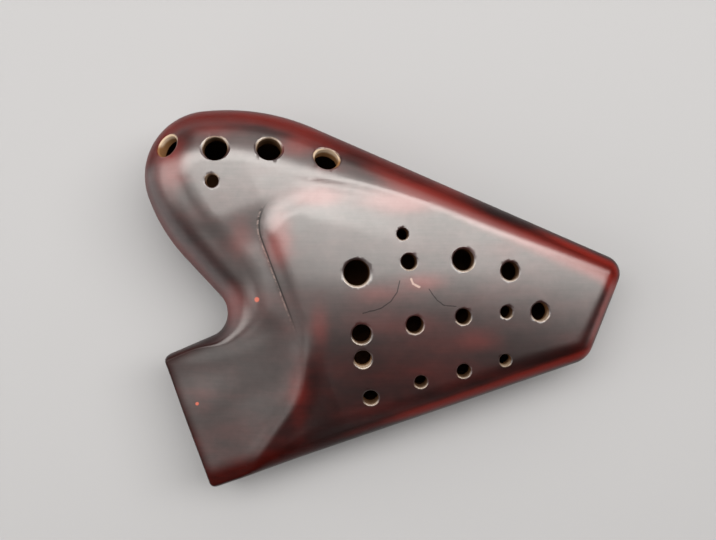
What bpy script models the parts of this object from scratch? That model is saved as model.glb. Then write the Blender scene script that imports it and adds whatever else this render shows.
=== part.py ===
"""Triple ocarina: a vessel flute of fired clay with three air chambers in one hollow body.

The body is pressed as a front and a back shell, which meet on a flat parting plane. Two slab
walls and two short cross slabs share the hollow out into a low, a middle and a high chamber.
Three clay blocks fill the mouthpiece, each with a tapered windway that blows across a window in
the back shell. The finger holes face up, +X runs from the mouthpiece to the tip, and +Y points
to the player's left hand. The finished object is in metres, with its belly flat on z = 0.
"""
import math

import bmesh
import bpy
import numpy as np
from mathutils import Matrix, Vector
from mathutils.geometry import delaunay_2d_cdt

MM = 0.001                      # the sizes below are millimetres, and the model is in metres
FRONT, BACK = 1, -1             # the side of the parting plane that a skin lies on

# Plan view, from the middle of the mouthpiece's end face
BODY_LENGTH = 207.2             # end face to the sharp corner of the tip
TIP_OFFSET = -2.2               # how far the tip's corner lies off the mouthpiece's middle
TIP_RADIUS = 8.5
TIP_CHAMFER = 31.0              # length of the slanting end under the tip
TIP_CHAMFER_RADIUS = 12.0
MOUTHPIECE_WIDTH = 62.6
MOUTHPIECE_CORNER_RADIUS = 3.5
LOWER_EDGE_FLARE = 5.0          # how much further out the lower edge is at the tip
LOBE_LEFT = 17.9                # the lobe's outermost reach over the mouthpiece
LOBE_CORNER = 136.9             # where the tangents round the lobe would meet
LOBE_RADIUS = 29.4
LOBE_FLANK = 83.5               # where the lobe's side turns in to the notch
LOBE_FLANK_RADIUS = 77.0
SHOULDER = (79.5, 121.5)        # corner between the lobe and the straight top edge
SHOULDER_RADIUS = 96.0
NOTCH = (38.7, 1.9)             # corner under the lobe: x, and rise over the mouthpiece's edge
NOTCH_RADIUS = 11.0

# Heights over and depths under the parting plane
MOUTHPIECE_FRONT = 9.5
MOUTHPIECE_BACK = 10.5
FACE_HEIGHT = 26.5              # the playing face, at its highest
BELLY_DEPTH = 24.0              # the flat belly
TIP_FRONT = 11.0
TIP_BACK = 12.0
FACE_CROWN_RADIUS = 190.0       # how the playing face rounds down to the lower edge
FRONT_RAMP = (0.0, 66.0)        # where the front swells out of the mouthpiece
BACK_RAMP = (50.0, 95.0)        # where the belly swells out behind the windows
LOBE_SWELL = (22.0, 0.9)        # height where the lobe starts, and how fast it swells
BELLY_TAPER_START = 150.0

# The edge of the body is rounded by a quarter ellipse of this reach
LOBE_EDGE = 25.0
BODY_EDGE = 13.0
TIP_EDGE = 8.0
MOUTHPIECE_EDGE = 2.5
END_TRIM = 1.2                  # how much of the rounding the flat end face cuts off

# The playing face stands over the lobe by a step: a sharp foot on its left, a soft valley along
# its top, and below, where the mouthpiece swells into it, a low ridge in the step's place
FACE_STEP = 3.2
FACE_FLANK = 6.0                # width of the step's rounded flank
FACE_TOP_FLANK = 14.0
FACE_RIDGE = 1.8
RIDGE_WIDTHS = (8.0, 4.5)       # towards the mouthpiece, and towards the face
FACE_HIGHEST = 65.9             # where the face starts to fall towards the tip
FACE_EDGE = ((4.0, -31.0, 0.0), (60.6, 6.0, 34.0), (60.6, 79.5, 16.0), (96.0, 79.5, 55.0),
             (200.0, 2.0, 0.0))

# Clay thickness and the play between pieces
WALL = 5.5
WINDWAY_ROOF = 3.6              # thickness of both shells over the windways
SLAB = 4.0                      # the walls between the chambers
SLAB_BEND = 24.0                # how sharply a wall bends, along its middle
PLAY = 0.3

# Finger holes in the front: x, y and width over the rim
LEFT_HAND_HOLES = ((36.4, 115.6, 11.5), (55.9, 106.2, 11.9), (77.1, 98.3, 11.9),
                   (98.5, 86.3, 11.9), (49.9, 93.8, 6.4))
LOW_HOLES = ((93.4, 36.2, 12.8), (115.8, 32.8, 7.8), (138.0, 25.4, 10.9), (155.3, 13.7, 9.2))
LOW_SUBHOLE = (117.4, 44.7, 5.8)
MID_HOLES = ((86.2, 11.1, 9.6), (108.7, 6.8, 8.7), (129.4, 2.7, 7.8), (147.6, -2.2, 6.2))
MID_LAST_HOLE = (161.5, -7.3, 9.1)
MID_FIRST_SUBHOLE = (82.9, 0.9, 8.7)
HIGH_HOLES = ((80.1, -16.2, 7.7), (102.7, -17.2, 6.4), (121.6, -19.4, 7.0), (140.0, -21.5, 6.0))
THUMB_HOLES = ((62.0, 86.0, 11.5), (98.0, 50.0, 11.0), (100.0, 4.0, 9.0), (96.0, -19.0, 8.0))
RIM_CHAMFER = 0.7

# Windways: width, and length of the window, for the low, middle and high chamber
WINDWAYS = {"low": (12.5, 7.0), "mid": (11.0, 6.2), "high": (9.5, 5.5)}
BLOCK_END = 36.0                # the blocks stop where the windows start
BLOCK_BEVEL = 1.5               # taken off the outer blocks in the corners of the hollow
WINDWAY_ENTRY = 2.8             # height of a windway at the lips
WINDWAY_EXIT = 1.4              # and where it meets the window
LABIUM_ANGLE = math.radians(25)
LABIUM_EDGE = 0.4               # thickness left on the edge that splits the air
END_SLAB_SPACE = 9.0            # from a chamber's last hole to its cross slab

# Facets
ROUNDING_RINGS = 4
OUTER_SPACING = 7.0
HOLLOW_SPACING = 8.5

WALL_CLAY = (0.36, 0.20, 0.11)
STAINED_CLAY = (0.050, 0.014, 0.012)


def round_off(before, corner, after, radius, step):
    """Points of the arc that rounds the corner between two straight stretches."""
    back = (before - corner).normalized()
    ahead = (after - corner).normalized()
    half_angle = back.angle(ahead) / 2
    centre = corner + (back + ahead).normalized() * radius / math.sin(half_angle)
    start = corner + back * radius / math.tan(half_angle) - centre
    end = corner + ahead * radius / math.tan(half_angle) - centre
    first = math.atan2(start.y, start.x)
    sweep = (math.atan2(end.y, end.x) - first + math.pi) % (2 * math.pi) - math.pi
    count = max(2, math.ceil(abs(sweep) * radius / step), math.ceil(abs(sweep) / 0.5))
    angles = [first + sweep * k / count for k in range(count + 1)]
    return [centre + radius * Vector((math.cos(a), math.sin(a))) for a in angles]


def subdivide(points, step, closed):
    """Fill the straight stretches of a chain with points about a step apart."""
    filled = []
    last = len(points) if closed else len(points) - 1
    for k in range(last):
        start, end = points[k], points[(k + 1) % len(points)]
        parts = max(1, round((end - start).length / step))
        filled += [start.lerp(end, j / parts) for j in range(parts)]
    if not closed:
        filled.append(points[-1])
    return filled


def plan_corners():
    """The body's plan view as corners and fillet radii, anticlockwise."""
    half = MOUTHPIECE_WIDTH / 2
    tip_low = BODY_LENGTH - TIP_CHAMFER
    return [(-END_TRIM, -half, MOUTHPIECE_CORNER_RADIUS),
            (tip_low, -half - LOWER_EDGE_FLARE, TIP_CHAMFER_RADIUS),
            (BODY_LENGTH, TIP_OFFSET, TIP_RADIUS),
            (SHOULDER[0], SHOULDER[1], SHOULDER_RADIUS),
            (LOBE_LEFT, LOBE_CORNER, LOBE_RADIUS),
            (LOBE_LEFT, LOBE_FLANK, LOBE_FLANK_RADIUS),
            (NOTCH[0], half + NOTCH[1], NOTCH_RADIUS),
            (-END_TRIM, half, MOUTHPIECE_CORNER_RADIUS)]


def plan_loop(inset, step):
    """The plan's outline moved inwards, as a closed loop of points about a step apart."""
    corners = plan_corners()
    points = [Vector(c[:2]) for c in corners]
    moved, radii = [], []
    for k, corner in enumerate(points):
        back = (points[k - 1] - corner).normalized()
        ahead = (points[(k + 1) % len(points)] - corner).normalized()
        hollow = -1 if back.x * ahead.y - back.y * ahead.x > 0 else 1
        reach = inset / math.sin(back.angle(ahead) / 2)
        moved.append(corner + (back + ahead).normalized() * reach * hollow)
        radii.append(max(corners[k][2] - inset * hollow, 1.0))
    loop = []
    for k, corner in enumerate(moved):
        loop += round_off(moved[k - 1], corner, moved[(k + 1) % len(moved)], radii[k], step)
    return np.array([p[:] for p in subdivide(loop, step, True)])


def nearest_on_chain(points, chain, closed):
    """Distance from each point to a chain, and on which side: positive on its left."""
    ends = np.roll(chain, -1, axis=0) if closed else chain[1:]
    starts = chain if closed else chain[:-1]
    run = ends - starts
    to_point = points[:, None, :] - starts[None, :, :]
    along = (to_point * run).sum(2) / (run * run).sum(1)
    gap = to_point - np.clip(along, 0, 1)[:, :, None] * run
    distance = np.sqrt((gap * gap).sum(2))
    nearest = distance.argmin(1)
    rows = np.arange(len(points))
    run, to_point = run[nearest], to_point[rows, nearest]
    side = np.sign(run[:, 0] * to_point[:, 1] - run[:, 1] * to_point[:, 0])
    return distance[rows, nearest] * side


def rounded_chain(corners, step):
    """An open line through corners of (x, y, fillet radius), as points about a step apart."""
    points = [Vector(c[:2]) for c in corners]
    chain = [points[0]]
    for k in range(1, len(points) - 1):
        chain += round_off(points[k - 1], points[k], points[k + 1], corners[k][2], step)
    chain.append(points[-1])
    return subdivide(chain, step, False)


OUTLINE = plan_loop(0.0, OUTER_SPACING)
FACE_CHAIN = np.array([p[:] for p in rounded_chain(FACE_EDGE, OUTER_SPACING)])


def ease(value, start, end):
    """A smooth ramp from 0 at start to 1 at end."""
    t = np.clip((value - start) / (end - start), 0, 1)
    return t * t * (3 - 2 * t)


def swell(points):
    """How far along its swelling a point is: by x in the mouthpiece, and sooner in the lobe."""
    return points[:, 0] + LOBE_SWELL[1] * np.maximum(points[:, 1] - LOBE_SWELL[0], 0)


def face_relief(points):
    """The step down from the playing face, and the ridge between the face and the mouthpiece."""
    x, y = points.T
    into_face = -nearest_on_chain(points, FACE_CHAIN, False)
    along_top = np.maximum(ease(y, 62.0, 80.0), ease(x, 70.0, 95.0))
    flank = FACE_FLANK + (FACE_TOP_FLANK - FACE_FLANK) * along_top
    inside = np.clip(into_face / flank, 0, 1)
    sharp, soft = (1 - inside) ** 2, 1 - ease(inside, 0, 1)
    step = FACE_STEP * ease(y, 4.0, 30.0) * (1 - ease(x, 92.0, 132.0))
    width = np.where(into_face < 0, *RIDGE_WIDTHS)
    ridge = FACE_RIDGE * ease(x, 8.0, 30.0) * (1 - ease(y, 12.0, 34.0)) * (x < FACE_HIGHEST + 20)
    return ridge * np.exp(-(into_face / width) ** 2) - step * (sharp + (soft - sharp) * along_top)


def front_height(points):
    """Height of the front skin over the parting plane, before its edge is rounded."""
    x, y = points.T
    rise = ease(swell(points), *FRONT_RAMP)
    to_tip = np.clip((x - FACE_HIGHEST) / (BODY_LENGTH - FACE_HIGHEST), 0, 1)
    top = FACE_HEIGHT - (FACE_HEIGHT - TIP_FRONT) * to_tip ** 1.25
    ridge = 45.0 * (1 - to_tip)
    below = np.clip(ridge - y, 0, None)
    top = top - below ** 2 / (2 * FACE_CROWN_RADIUS) * (1 - to_tip)
    return MOUTHPIECE_FRONT + (top - MOUTHPIECE_FRONT) * rise + face_relief(points)


def back_depth(points):
    """Depth of the back skin under the parting plane, before its edge is rounded."""
    rise = ease(swell(points), *BACK_RAMP)
    taper = (BELLY_DEPTH - TIP_BACK) * ease(points[:, 0], BELLY_TAPER_START, BODY_LENGTH)
    return MOUTHPIECE_BACK + (BELLY_DEPTH - MOUTHPIECE_BACK) * rise - taper


def edge_reach(points):
    """How far in from the outline the rounded edge runs."""
    x, y = points.T
    lobe_x, lobe_y = LOBE_LEFT + LOBE_RADIUS, LOBE_CORNER - 1.28 * LOBE_RADIUS
    from_lobe = np.hypot(x - lobe_x, y - lobe_y)
    reach = LOBE_EDGE - (LOBE_EDGE - BODY_EDGE) * ease(from_lobe, 25.0, 110.0)
    reach = reach - (BODY_EDGE - TIP_EDGE) * ease(x, 140.0, BODY_LENGTH)
    out_of_mouthpiece = ease(x + np.maximum(y - 30.0, 0), 12.0, 57.0)
    return MOUTHPIECE_EDGE + (reach - MOUTHPIECE_EDGE) * out_of_mouthpiece


def skin_height(points, side, inset):
    """Distance of a skin from the parting plane; inset 0 is the outside, WALL is the hollow."""
    full = front_height(points) if side == FRONT else back_depth(points)
    reach = edge_reach(points)
    if inset > 0:
        over_windways = ease(points[:, 0], 45.0, 70.0)
        full = full - (WINDWAY_ROOF + (inset - WINDWAY_ROOF) * over_windways)
        reach = np.maximum(reach - inset, MOUTHPIECE_EDGE)
    share = np.clip((nearest_on_chain(points, OUTLINE, True) - inset) / reach, 0, 1)
    return full * np.sqrt(1 - (1 - share) ** 2)


def keep_apart(points, kept, spacing):
    """The points that lie at least the spacing from those kept before them."""
    chosen = list(kept)
    for point in points:
        if not chosen or np.hypot(*(np.array(chosen) - point).T).min() >= spacing:
            chosen.append(point)
    return chosen


def linked(row, first, longest):
    """The edges along a row of points, numbered from first, but none over a gap in the row."""
    return [(first + k, first + k + 1) for k in range(len(row) - 1)
            if np.hypot(*(row[k + 1] - row[k])) < longest]


def face_edge_rows(inset):
    """Rows of points along the foot, the middle and the top of the playing face's flank."""
    chain = FACE_CHAIN[FACE_CHAIN[:, 0] < 135]
    run = np.gradient(chain, axis=0)
    across = np.stack([run[:, 1], -run[:, 0]], 1) / np.hypot(*run.T)[:, None]
    rows = [chain + across * FACE_FLANK * part for part in (0.0, 0.5, 1.0)]
    return [row[nearest_on_chain(row, OUTLINE, True) > inset + 2] for row in rows]


def plan_mesh(inset, spacing, with_face_edge):
    """Triangulate a plan: its loop, rings where the edge rounds, and a lattice inside them."""
    loop = plan_loop(inset, spacing)
    tangent = np.roll(loop, -1, axis=0) - np.roll(loop, 1, axis=0)
    inward = np.stack([-tangent[:, 1], tangent[:, 0]], 1) / np.hypot(*tangent.T)[:, None]
    reach = edge_reach(loop)
    if inset > 0:
        reach = np.maximum(reach - inset, MOUTHPIECE_EDGE)
    edges = [(k, (k + 1) % len(loop)) for k in range(len(loop))]
    inner = []
    for row in face_edge_rows(inset) if with_face_edge else []:
        first = len(inner)
        inner = keep_apart(row, inner, FACE_FLANK * 0.45)
        edges += linked(inner[first:], len(loop) + first, 1.5 * spacing)
    on_face_edge = inner
    for ring in range(1, ROUNDING_RINGS + 1):
        depth = reach * (1 - math.cos(math.pi / 2 * ring / ROUNDING_RINGS))
        points = loop + inward * depth[:, None]
        true_depth = nearest_on_chain(points, OUTLINE, True) - inset
        points = points[true_depth > 0.93 * depth]
        line = keep_apart(points, on_face_edge, 0.35 * spacing)[len(on_face_edge):]
        edges += linked(line, len(loop) + len(inner), 1.5 * spacing)
        inner = inner + line
    low, high = loop.min(0), loop.max(0)
    rows = np.arange(low[1], high[1], spacing * 0.866)
    lattice = [(x + spacing / 2 * (k % 2), y) for k, y in enumerate(rows)
               for x in np.arange(low[0], high[0], spacing)]
    lattice = np.array(lattice)
    far_in = nearest_on_chain(lattice, OUTLINE, True) - inset > edge_reach(lattice) - inset
    inner = keep_apart(lattice[far_in], inner, 0.6 * spacing)
    vertices = [Vector(p) for p in list(loop) + inner]
    found = delaunay_2d_cdt(vertices, edges, [], 1, 1e-5)
    plan = np.array([v[:] for v in found[0]])
    on_loop = np.array([any(k < len(loop) for k in origin) for origin in found[3]])
    order = {k: j for j, origin in enumerate(found[3]) for k in origin if k < len(loop)}
    return plan, found[2], on_loop, [order[k] for k in range(len(loop))]


def lid_height(plan, on_loop, side, inset):
    """Heights of one skin over a plan, measured from the middle of the parting gap."""
    height = np.where(on_loop, 0, skin_height(plan, side, inset))
    return side * (height + PLAY / 2)


def add_faces(bm, faces, corners, side):
    """Add triangles that face up on the front and down on the back."""
    for face in faces:
        turn = face if side == FRONT else face[::-1]
        bm.faces.new([corners[k] for k in turn])


def half_solid(name, side, inset, spacing, skirt=0.0):
    """A skin closed by a flat face on the parting plane, or a skirt's depth past it."""
    plan, faces, on_loop, loop = plan_mesh(inset, spacing, side == FRONT and inset == 0)
    height = lid_height(plan, on_loop, side, inset)
    bm = bmesh.new()
    lid = [bm.verts.new((x, y, z)) for (x, y), z in zip(plan, height)]
    add_faces(bm, faces, lid, side)
    rim = [lid[k] for k in loop]
    if skirt:
        floor = [bm.verts.new(v.co - Vector((0, 0, side * skirt))) for v in rim]
        for k in range(len(rim)):
            j = (k + 1) % len(rim)
            bm.faces.new([rim[j], rim[k], floor[k], floor[j]][::side])
        rim = floor
    bm.faces.new(rim[::-1] if side == FRONT else rim)
    return new_object(name, bm)


def hollow_core(name, clearance):
    """The whole hollow as one closed body, drawn in so that a piece cut by it has play."""
    plan, faces, on_loop, loop = plan_mesh(WALL, HOLLOW_SPACING, False)
    # A triangle with all its corners on the rim is flat, and would close a lid on itself
    faces = [face for face in faces if not on_loop[list(face)].all()]
    bm = bmesh.new()
    rim = {k: bm.verts.new((*plan[k], 0)) for k in loop}
    for side in (FRONT, BACK):
        height = lid_height(plan, on_loop, side, WALL)
        lid = {k: rim.get(k) or bm.verts.new((*plan[k], height[k])) for k in range(len(plan))}
        add_faces(bm, faces, lid, side)
    for vertex in [v for v in bm.verts if not v.link_faces]:
        bm.verts.remove(vertex)
    bm.normal_update()
    drawn_in = []
    for vertex in bm.verts:
        slant = min(vertex.normal.dot(face.normal) for face in vertex.link_faces)
        drawn_in.append(vertex.co - vertex.normal * clearance / max(slant, 0.4))
    for vertex, place in zip(bm.verts, drawn_in):
        vertex.co = place
    return new_object(name, bm)


def new_object(name, bm, smooth=True):
    """Turn a bmesh in millimetres into a named object in metres."""
    bmesh.ops.scale(bm, vec=(MM, MM, MM), verts=bm.verts)
    mesh = bpy.data.meshes.new(name)
    bm.to_mesh(mesh)
    bm.free()
    if smooth:
        mesh.shade_smooth()
        mesh.set_sharp_from_angle(angle=math.radians(40))
    thing = bpy.data.objects.new(name, mesh)
    bpy.context.scene.collection.objects.link(thing)
    return thing


def add_prism(bm, outline, low, high, turn=None):
    """Extrude an anticlockwise outline from low to high, then turn it into place."""
    bottom = [bm.verts.new((x, y, low)) for x, y in outline]
    top = [bm.verts.new((x, y, high)) for x, y in outline]
    bm.faces.new(bottom[::-1])
    bm.faces.new(top)
    for k in range(len(outline)):
        j = (k + 1) % len(outline)
        bm.faces.new([bottom[k], bottom[j], top[j], top[k]])
    if turn:
        bmesh.ops.transform(bm, matrix=turn, verts=bottom + top)


def side_profile(middle):
    """Turns a prism drawn in x and depth so that it lies across the mouthpiece at a given y."""
    matrix = Matrix(((1, 0, 0), (0, 0, 1), (0, -1, 0))).to_4x4()
    matrix.translation = Vector((0, middle, -PLAY / 2))
    return matrix


def add_turned(bm, frame, profile, sides):
    """Turn a profile of (radius, height) points about the z axis of a frame, with flat ends."""
    rings = []
    for radius, height in profile:
        angles = [2 * math.pi * k / sides for k in range(sides)]
        ring = [Vector((radius * math.cos(a), radius * math.sin(a), height)) for a in angles]
        rings.append([bm.verts.new(frame @ v) for v in ring])
    bm.faces.new(rings[0][::-1])
    bm.faces.new(rings[-1])
    for lower, upper in zip(rings, rings[1:]):
        for k in range(sides):
            j = (k + 1) % sides
            bm.faces.new([lower[k], lower[j], upper[j], upper[k]])


def skin_point(x, y, side):
    """A point of the outer skin in space."""
    height = skin_height(np.array([[x, y]]), side, 0.0)[0]
    return Vector((x, y, side * (height + PLAY / 2)))


def hole_frame(x, y, width, side):
    """A frame on the outer skin whose z axis points out of it, level with the hole's rim."""
    step = width / 2
    east = skin_point(x + step, y, side) - skin_point(x - step, y, side)
    north = skin_point(x, y + step, side) - skin_point(x, y - step, side)
    outward = east.cross(north).normalized() * side
    frame = outward.to_track_quat("Z", "Y").to_matrix().to_4x4()
    rim = [(x + step, y), (x - step, y), (x, y + step), (x, y - step)]
    centre = skin_point(x, y, side)
    sunk = sum((skin_point(*p, side) - centre).dot(outward) for p in rim) / len(rim)
    frame.translation = centre + outward * sunk
    return frame


def hole_cutter(name, holes, side):
    """One cutter with a turned bit for each hole: a bore through the wall and a broken rim."""
    bm = bmesh.new()
    for x, y, width in holes:
        bore = width / 2 - RIM_CHAMFER
        over = 0.5
        profile = [(bore, -WALL - 4), (bore, -RIM_CHAMFER), (width / 2 + over, over),
                   (width / 2 + over, 4)]
        add_turned(bm, hole_frame(x, y, width, side), profile, 16 if width > 9 else 12)
    return as_cutter(new_object(name, bm, False))


def as_cutter(thing):
    """Mark an object as a tool for Boolean cuts only."""
    thing.hide_render = True
    thing.display_type = "WIRE"
    return thing


def cut(thing, tool, operation="DIFFERENCE"):
    """Add a Boolean modifier that cuts an object with a tool."""
    modifier = thing.modifiers.new(tool.name, "BOOLEAN")
    modifier.object = tool
    modifier.operation = operation
    modifier.solver = "EXACT"


def clay(name, colour, roughness):
    """A plain clay material."""
    material = bpy.data.materials.new(name)
    material.use_nodes = True
    shader = material.node_tree.nodes["Principled BSDF"]
    shader.inputs["Base Color"].default_value = (*colour, 1)
    shader.inputs["Roughness"].default_value = roughness
    shader.inputs["Metallic"].default_value = 0
    material.diffuse_color = (*colour, 1)
    return material


def block_lanes():
    """The middle line of each windway, shared out evenly over the mouthpiece's hollow."""
    lane = (MOUTHPIECE_WIDTH - 2 * WALL) / len(WINDWAYS)
    return lane, {"low": lane, "mid": 0.0, "high": -lane}


def windway_depths():
    """Depths of the windways' roof under the parting plane, at the lips and at the window."""
    roof = MOUTHPIECE_BACK - WINDWAY_ROOF
    return roof, roof - WINDWAY_ENTRY, roof - WINDWAY_EXIT


def windway_cutter(name, start, end, past_roof):
    """Tapered slots, one for each chamber, between two places along the mouthpiece."""
    roof, entry, exit_ = windway_depths()
    slope = (exit_ - entry) / BLOCK_END
    profile = [(start, entry + slope * start), (end, entry + slope * end),
               (end, roof + past_roof), (start, roof + past_roof)]
    lanes = block_lanes()[1]
    bm = bmesh.new()
    for chamber, (width, _) in WINDWAYS.items():
        add_prism(bm, profile, -width / 2, width / 2, side_profile(lanes[chamber]))
    return as_cutter(new_object(name, bm, False))


def window_cutter(name):
    """The windows, and the ramp on the far side of each that leaves a thin edge, the labium."""
    roof = windway_depths()[0]
    outside = MOUTHPIECE_BACK + 3
    lanes = block_lanes()[1]
    bm = bmesh.new()
    for chamber, (width, length) in WINDWAYS.items():
        far = BLOCK_END + length
        edge = roof + LABIUM_EDGE
        profile = [(BLOCK_END, roof - 2), (far, roof - 2), (far, edge),
                   (far + (outside - edge) / math.tan(LABIUM_ANGLE), outside),
                   (BLOCK_END, outside)]
        add_prism(bm, profile, -width / 2, width / 2, side_profile(lanes[chamber]))
    return as_cutter(new_object(name, bm, False))


def end_face_cutter():
    """A box that trims the mouthpiece to its flat end face at x = 0."""
    half = MOUTHPIECE_WIDTH
    bm = bmesh.new()
    add_prism(bm, [(-10, -half), (0, -half), (0, half), (-10, half)], -30, 30)
    return as_cutter(new_object("end_face_cutter", bm, False))


def shells(clay_skin):
    """The front and the back shell: pressed skins, hollowed and then pierced."""
    roof = windway_depths()[0]
    trim = end_face_cutter()
    front = half_solid("front_shell", FRONT, 0.0, OUTER_SPACING)
    back = half_solid("back_shell", BACK, 0.0, OUTER_SPACING)
    finger_holes = (*LEFT_HAND_HOLES, *LOW_HOLES, LOW_SUBHOLE, *MID_HOLES, MID_LAST_HOLE,
                    MID_FIRST_SUBHOLE, *HIGH_HOLES)
    tools = {
        front: [half_solid("front_hollow", FRONT, WALL, HOLLOW_SPACING, 1.0),
                hole_cutter("finger_hole_cutter", finger_holes, FRONT)],
        back: [half_solid("back_hollow", BACK, WALL, HOLLOW_SPACING, 1.0),
               windway_cutter("windway_mouth_cutter", -5.0, WALL + 2, 0.0),
               window_cutter("window_cutter"),
               hole_cutter("thumb_hole_cutter", THUMB_HOLES, BACK)]}
    for shell, cutters in tools.items():
        shell.data.materials.append(clay_skin)
        for tool in [trim, *cutters]:
            as_cutter(tool)
            cut(shell, tool)
    return [front, back]


def windway_blocks(core, material):
    """The three clay blocks that fill the mouthpiece, with their tapered windways."""
    lane, middles = block_lanes()
    slots = windway_cutter("windway_cutter", -5.0, BLOCK_END + 5, 5.0)
    blocks = []
    for chamber in WINDWAYS:
        side = -1 if chamber == "high" else 1
        inner = middles[chamber] * side - lane / 2 + PLAY / 2
        outer = middles[chamber] * side + lane / 2 - PLAY / 2
        plan = [(0, inner), (BLOCK_END, inner), (BLOCK_END, outer), (0, outer)]
        if chamber != "mid":
            outer += WALL
            bevel = WALL + BLOCK_BEVEL
            corner = WALL - END_TRIM + BLOCK_BEVEL - bevel
            plan[2:] = [(BLOCK_END, outer), (corner + bevel + WALL, outer),
                        (corner, outer - bevel - WALL), (0, outer - bevel - WALL)]
        bm = bmesh.new()
        add_prism(bm, [(x, y * side) for x, y in plan][::side], -30, 30)
        block = new_object(f"{chamber}_windway_block", bm, False)
        block.data.materials.append(material)
        cut(block, core, "INTERSECT")
        cut(block, slots)
        blocks.append(block)
    return blocks


def add_slab(bm, route):
    """A slab of clay standing on edge along a route."""
    left, right = [], []
    for k, point in enumerate(route):
        ahead = route[min(k + 1, len(route) - 1)] - route[max(k - 1, 0)]
        across = Vector((-ahead.y, ahead.x)).normalized() * SLAB / 2
        left.append(point + across)
        right.append(point - across)
    add_prism(bm, [p[:] for p in right + left[::-1]], -40, 40)


def chamber_wall(name, start_y, upper_holes, lower_holes, last_hole, core, material):
    """A wall that runs midway between two rows of holes, and its cross slab past the last."""
    route = [(BLOCK_END + PLAY, start_y), (BLOCK_END + 2 * SLAB, start_y)]
    for upper, lower in zip(upper_holes, lower_holes):
        route.append(((upper[0] + lower[0]) / 2, (upper[1] + lower[1]) / 2))
    heading = (Vector(route[-1]) - Vector(route[-2])).normalized()
    beside = Vector((-heading.y, heading.x)) * (last_hole[2] / 2 + SLAB)
    route.append((Vector(last_hole[:2]) + heading * END_SLAB_SPACE + beside)[:])
    line = rounded_chain([(x, y, SLAB_BEND) for x, y in route], HOLLOW_SPACING)
    bm = bmesh.new()
    add_slab(bm, line)
    wall = new_object(f"{name}_wall", bm)
    heading = (line[-1] - line[-2]).normalized()
    down = Vector((heading.y, -heading.x))
    corner = line[-1] + heading * (SLAB / 2 + PLAY) - down * SLAB / 2
    bm = bmesh.new()
    add_slab(bm, [corner, corner + down * MOUTHPIECE_WIDTH])
    slab = new_object(f"{name.split('_')[1]}_end_wall", bm)
    for piece in (wall, slab):
        piece.data.materials.append(material)
        cut(piece, core, "INTERSECT")
    return [wall, slab]


def build():
    """Model every piece and stand the ocarina on its belly, centred on the origin."""
    for thing in list(bpy.data.objects):
        bpy.data.objects.remove(thing, do_unlink=True)
    inner_clay = clay("fired_clay", WALL_CLAY, 0.85)
    pieces = shells(clay("stained_clay", STAINED_CLAY, 0.35))
    core = as_cutter(hollow_core("hollow_core", PLAY))
    lane = block_lanes()[0]
    pieces += windway_blocks(core, inner_clay)
    pieces += chamber_wall("low_mid", lane / 2, LOW_HOLES, MID_HOLES, MID_LAST_HOLE, core,
                           inner_clay)
    lower_mid_row = (MID_FIRST_SUBHOLE, *MID_HOLES[1:])
    pieces += chamber_wall("mid_high", -lane / 2, lower_mid_row, HIGH_HOLES, HIGH_HOLES[-1],
                           core, inner_clay)
    low, high = OUTLINE.min(0), OUTLINE.max(0)
    centre = Vector(((high[0] + max(low[0], 0)) / 2, (low[1] + high[1]) / 2))
    stand = bpy.data.objects.new("ocarina_frame", None)
    stand.location = Vector((-centre.x, -centre.y, BELLY_DEPTH + PLAY / 2)) * MM
    bpy.context.scene.collection.objects.link(stand)
    for thing in bpy.data.objects:
        if thing is not stand:
            thing.parent = stand


build()
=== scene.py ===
"""Looks of the triple ocarina: a stained clay vessel flute with three chambers.

The sections follow the instrument as it is put together: the pressed body, the finger and thumb
holes, the windways, the stain and varnish, the clay inside, and last the floor, the light and the
camera.
"""
import math

import bmesh
import bpy
import numpy as np
from mathutils import Matrix, Vector
from mathutils.geometry import delaunay_2d_cdt
from mathutils.kdtree import KDTree


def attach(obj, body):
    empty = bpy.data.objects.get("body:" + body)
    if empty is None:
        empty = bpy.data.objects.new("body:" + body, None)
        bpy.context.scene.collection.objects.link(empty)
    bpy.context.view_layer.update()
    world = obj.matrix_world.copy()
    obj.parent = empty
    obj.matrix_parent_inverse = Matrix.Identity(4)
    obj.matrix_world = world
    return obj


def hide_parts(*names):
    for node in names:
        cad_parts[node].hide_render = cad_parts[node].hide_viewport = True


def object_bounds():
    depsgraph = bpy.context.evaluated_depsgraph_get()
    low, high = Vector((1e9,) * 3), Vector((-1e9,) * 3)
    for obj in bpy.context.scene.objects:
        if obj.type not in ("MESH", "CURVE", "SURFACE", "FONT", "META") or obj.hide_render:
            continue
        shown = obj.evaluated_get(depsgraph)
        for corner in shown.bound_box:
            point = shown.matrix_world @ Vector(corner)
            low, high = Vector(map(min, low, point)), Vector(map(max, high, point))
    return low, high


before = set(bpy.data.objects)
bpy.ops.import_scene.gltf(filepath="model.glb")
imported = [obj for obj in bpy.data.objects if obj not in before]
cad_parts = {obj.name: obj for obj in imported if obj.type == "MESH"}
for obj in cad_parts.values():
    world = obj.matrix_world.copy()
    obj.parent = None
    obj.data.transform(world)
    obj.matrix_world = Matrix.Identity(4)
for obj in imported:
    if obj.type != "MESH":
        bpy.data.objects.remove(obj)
cad_low, cad_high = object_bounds()


# The body
# Two halves of clay are pressed over a former, hollowed and joined with slip into one shell, so
# no seam shows. The right-hand playing face stands over the lobe by a step with a sharp foot.
# Sizes are in millimetres from the middle of the mouthpiece's end, x towards the tip.
MM = 0.001
FRONT, BACK = 1, -1
END_TRIM = 1.2                  # how much is cut off the mouthpiece's rounded end
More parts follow.
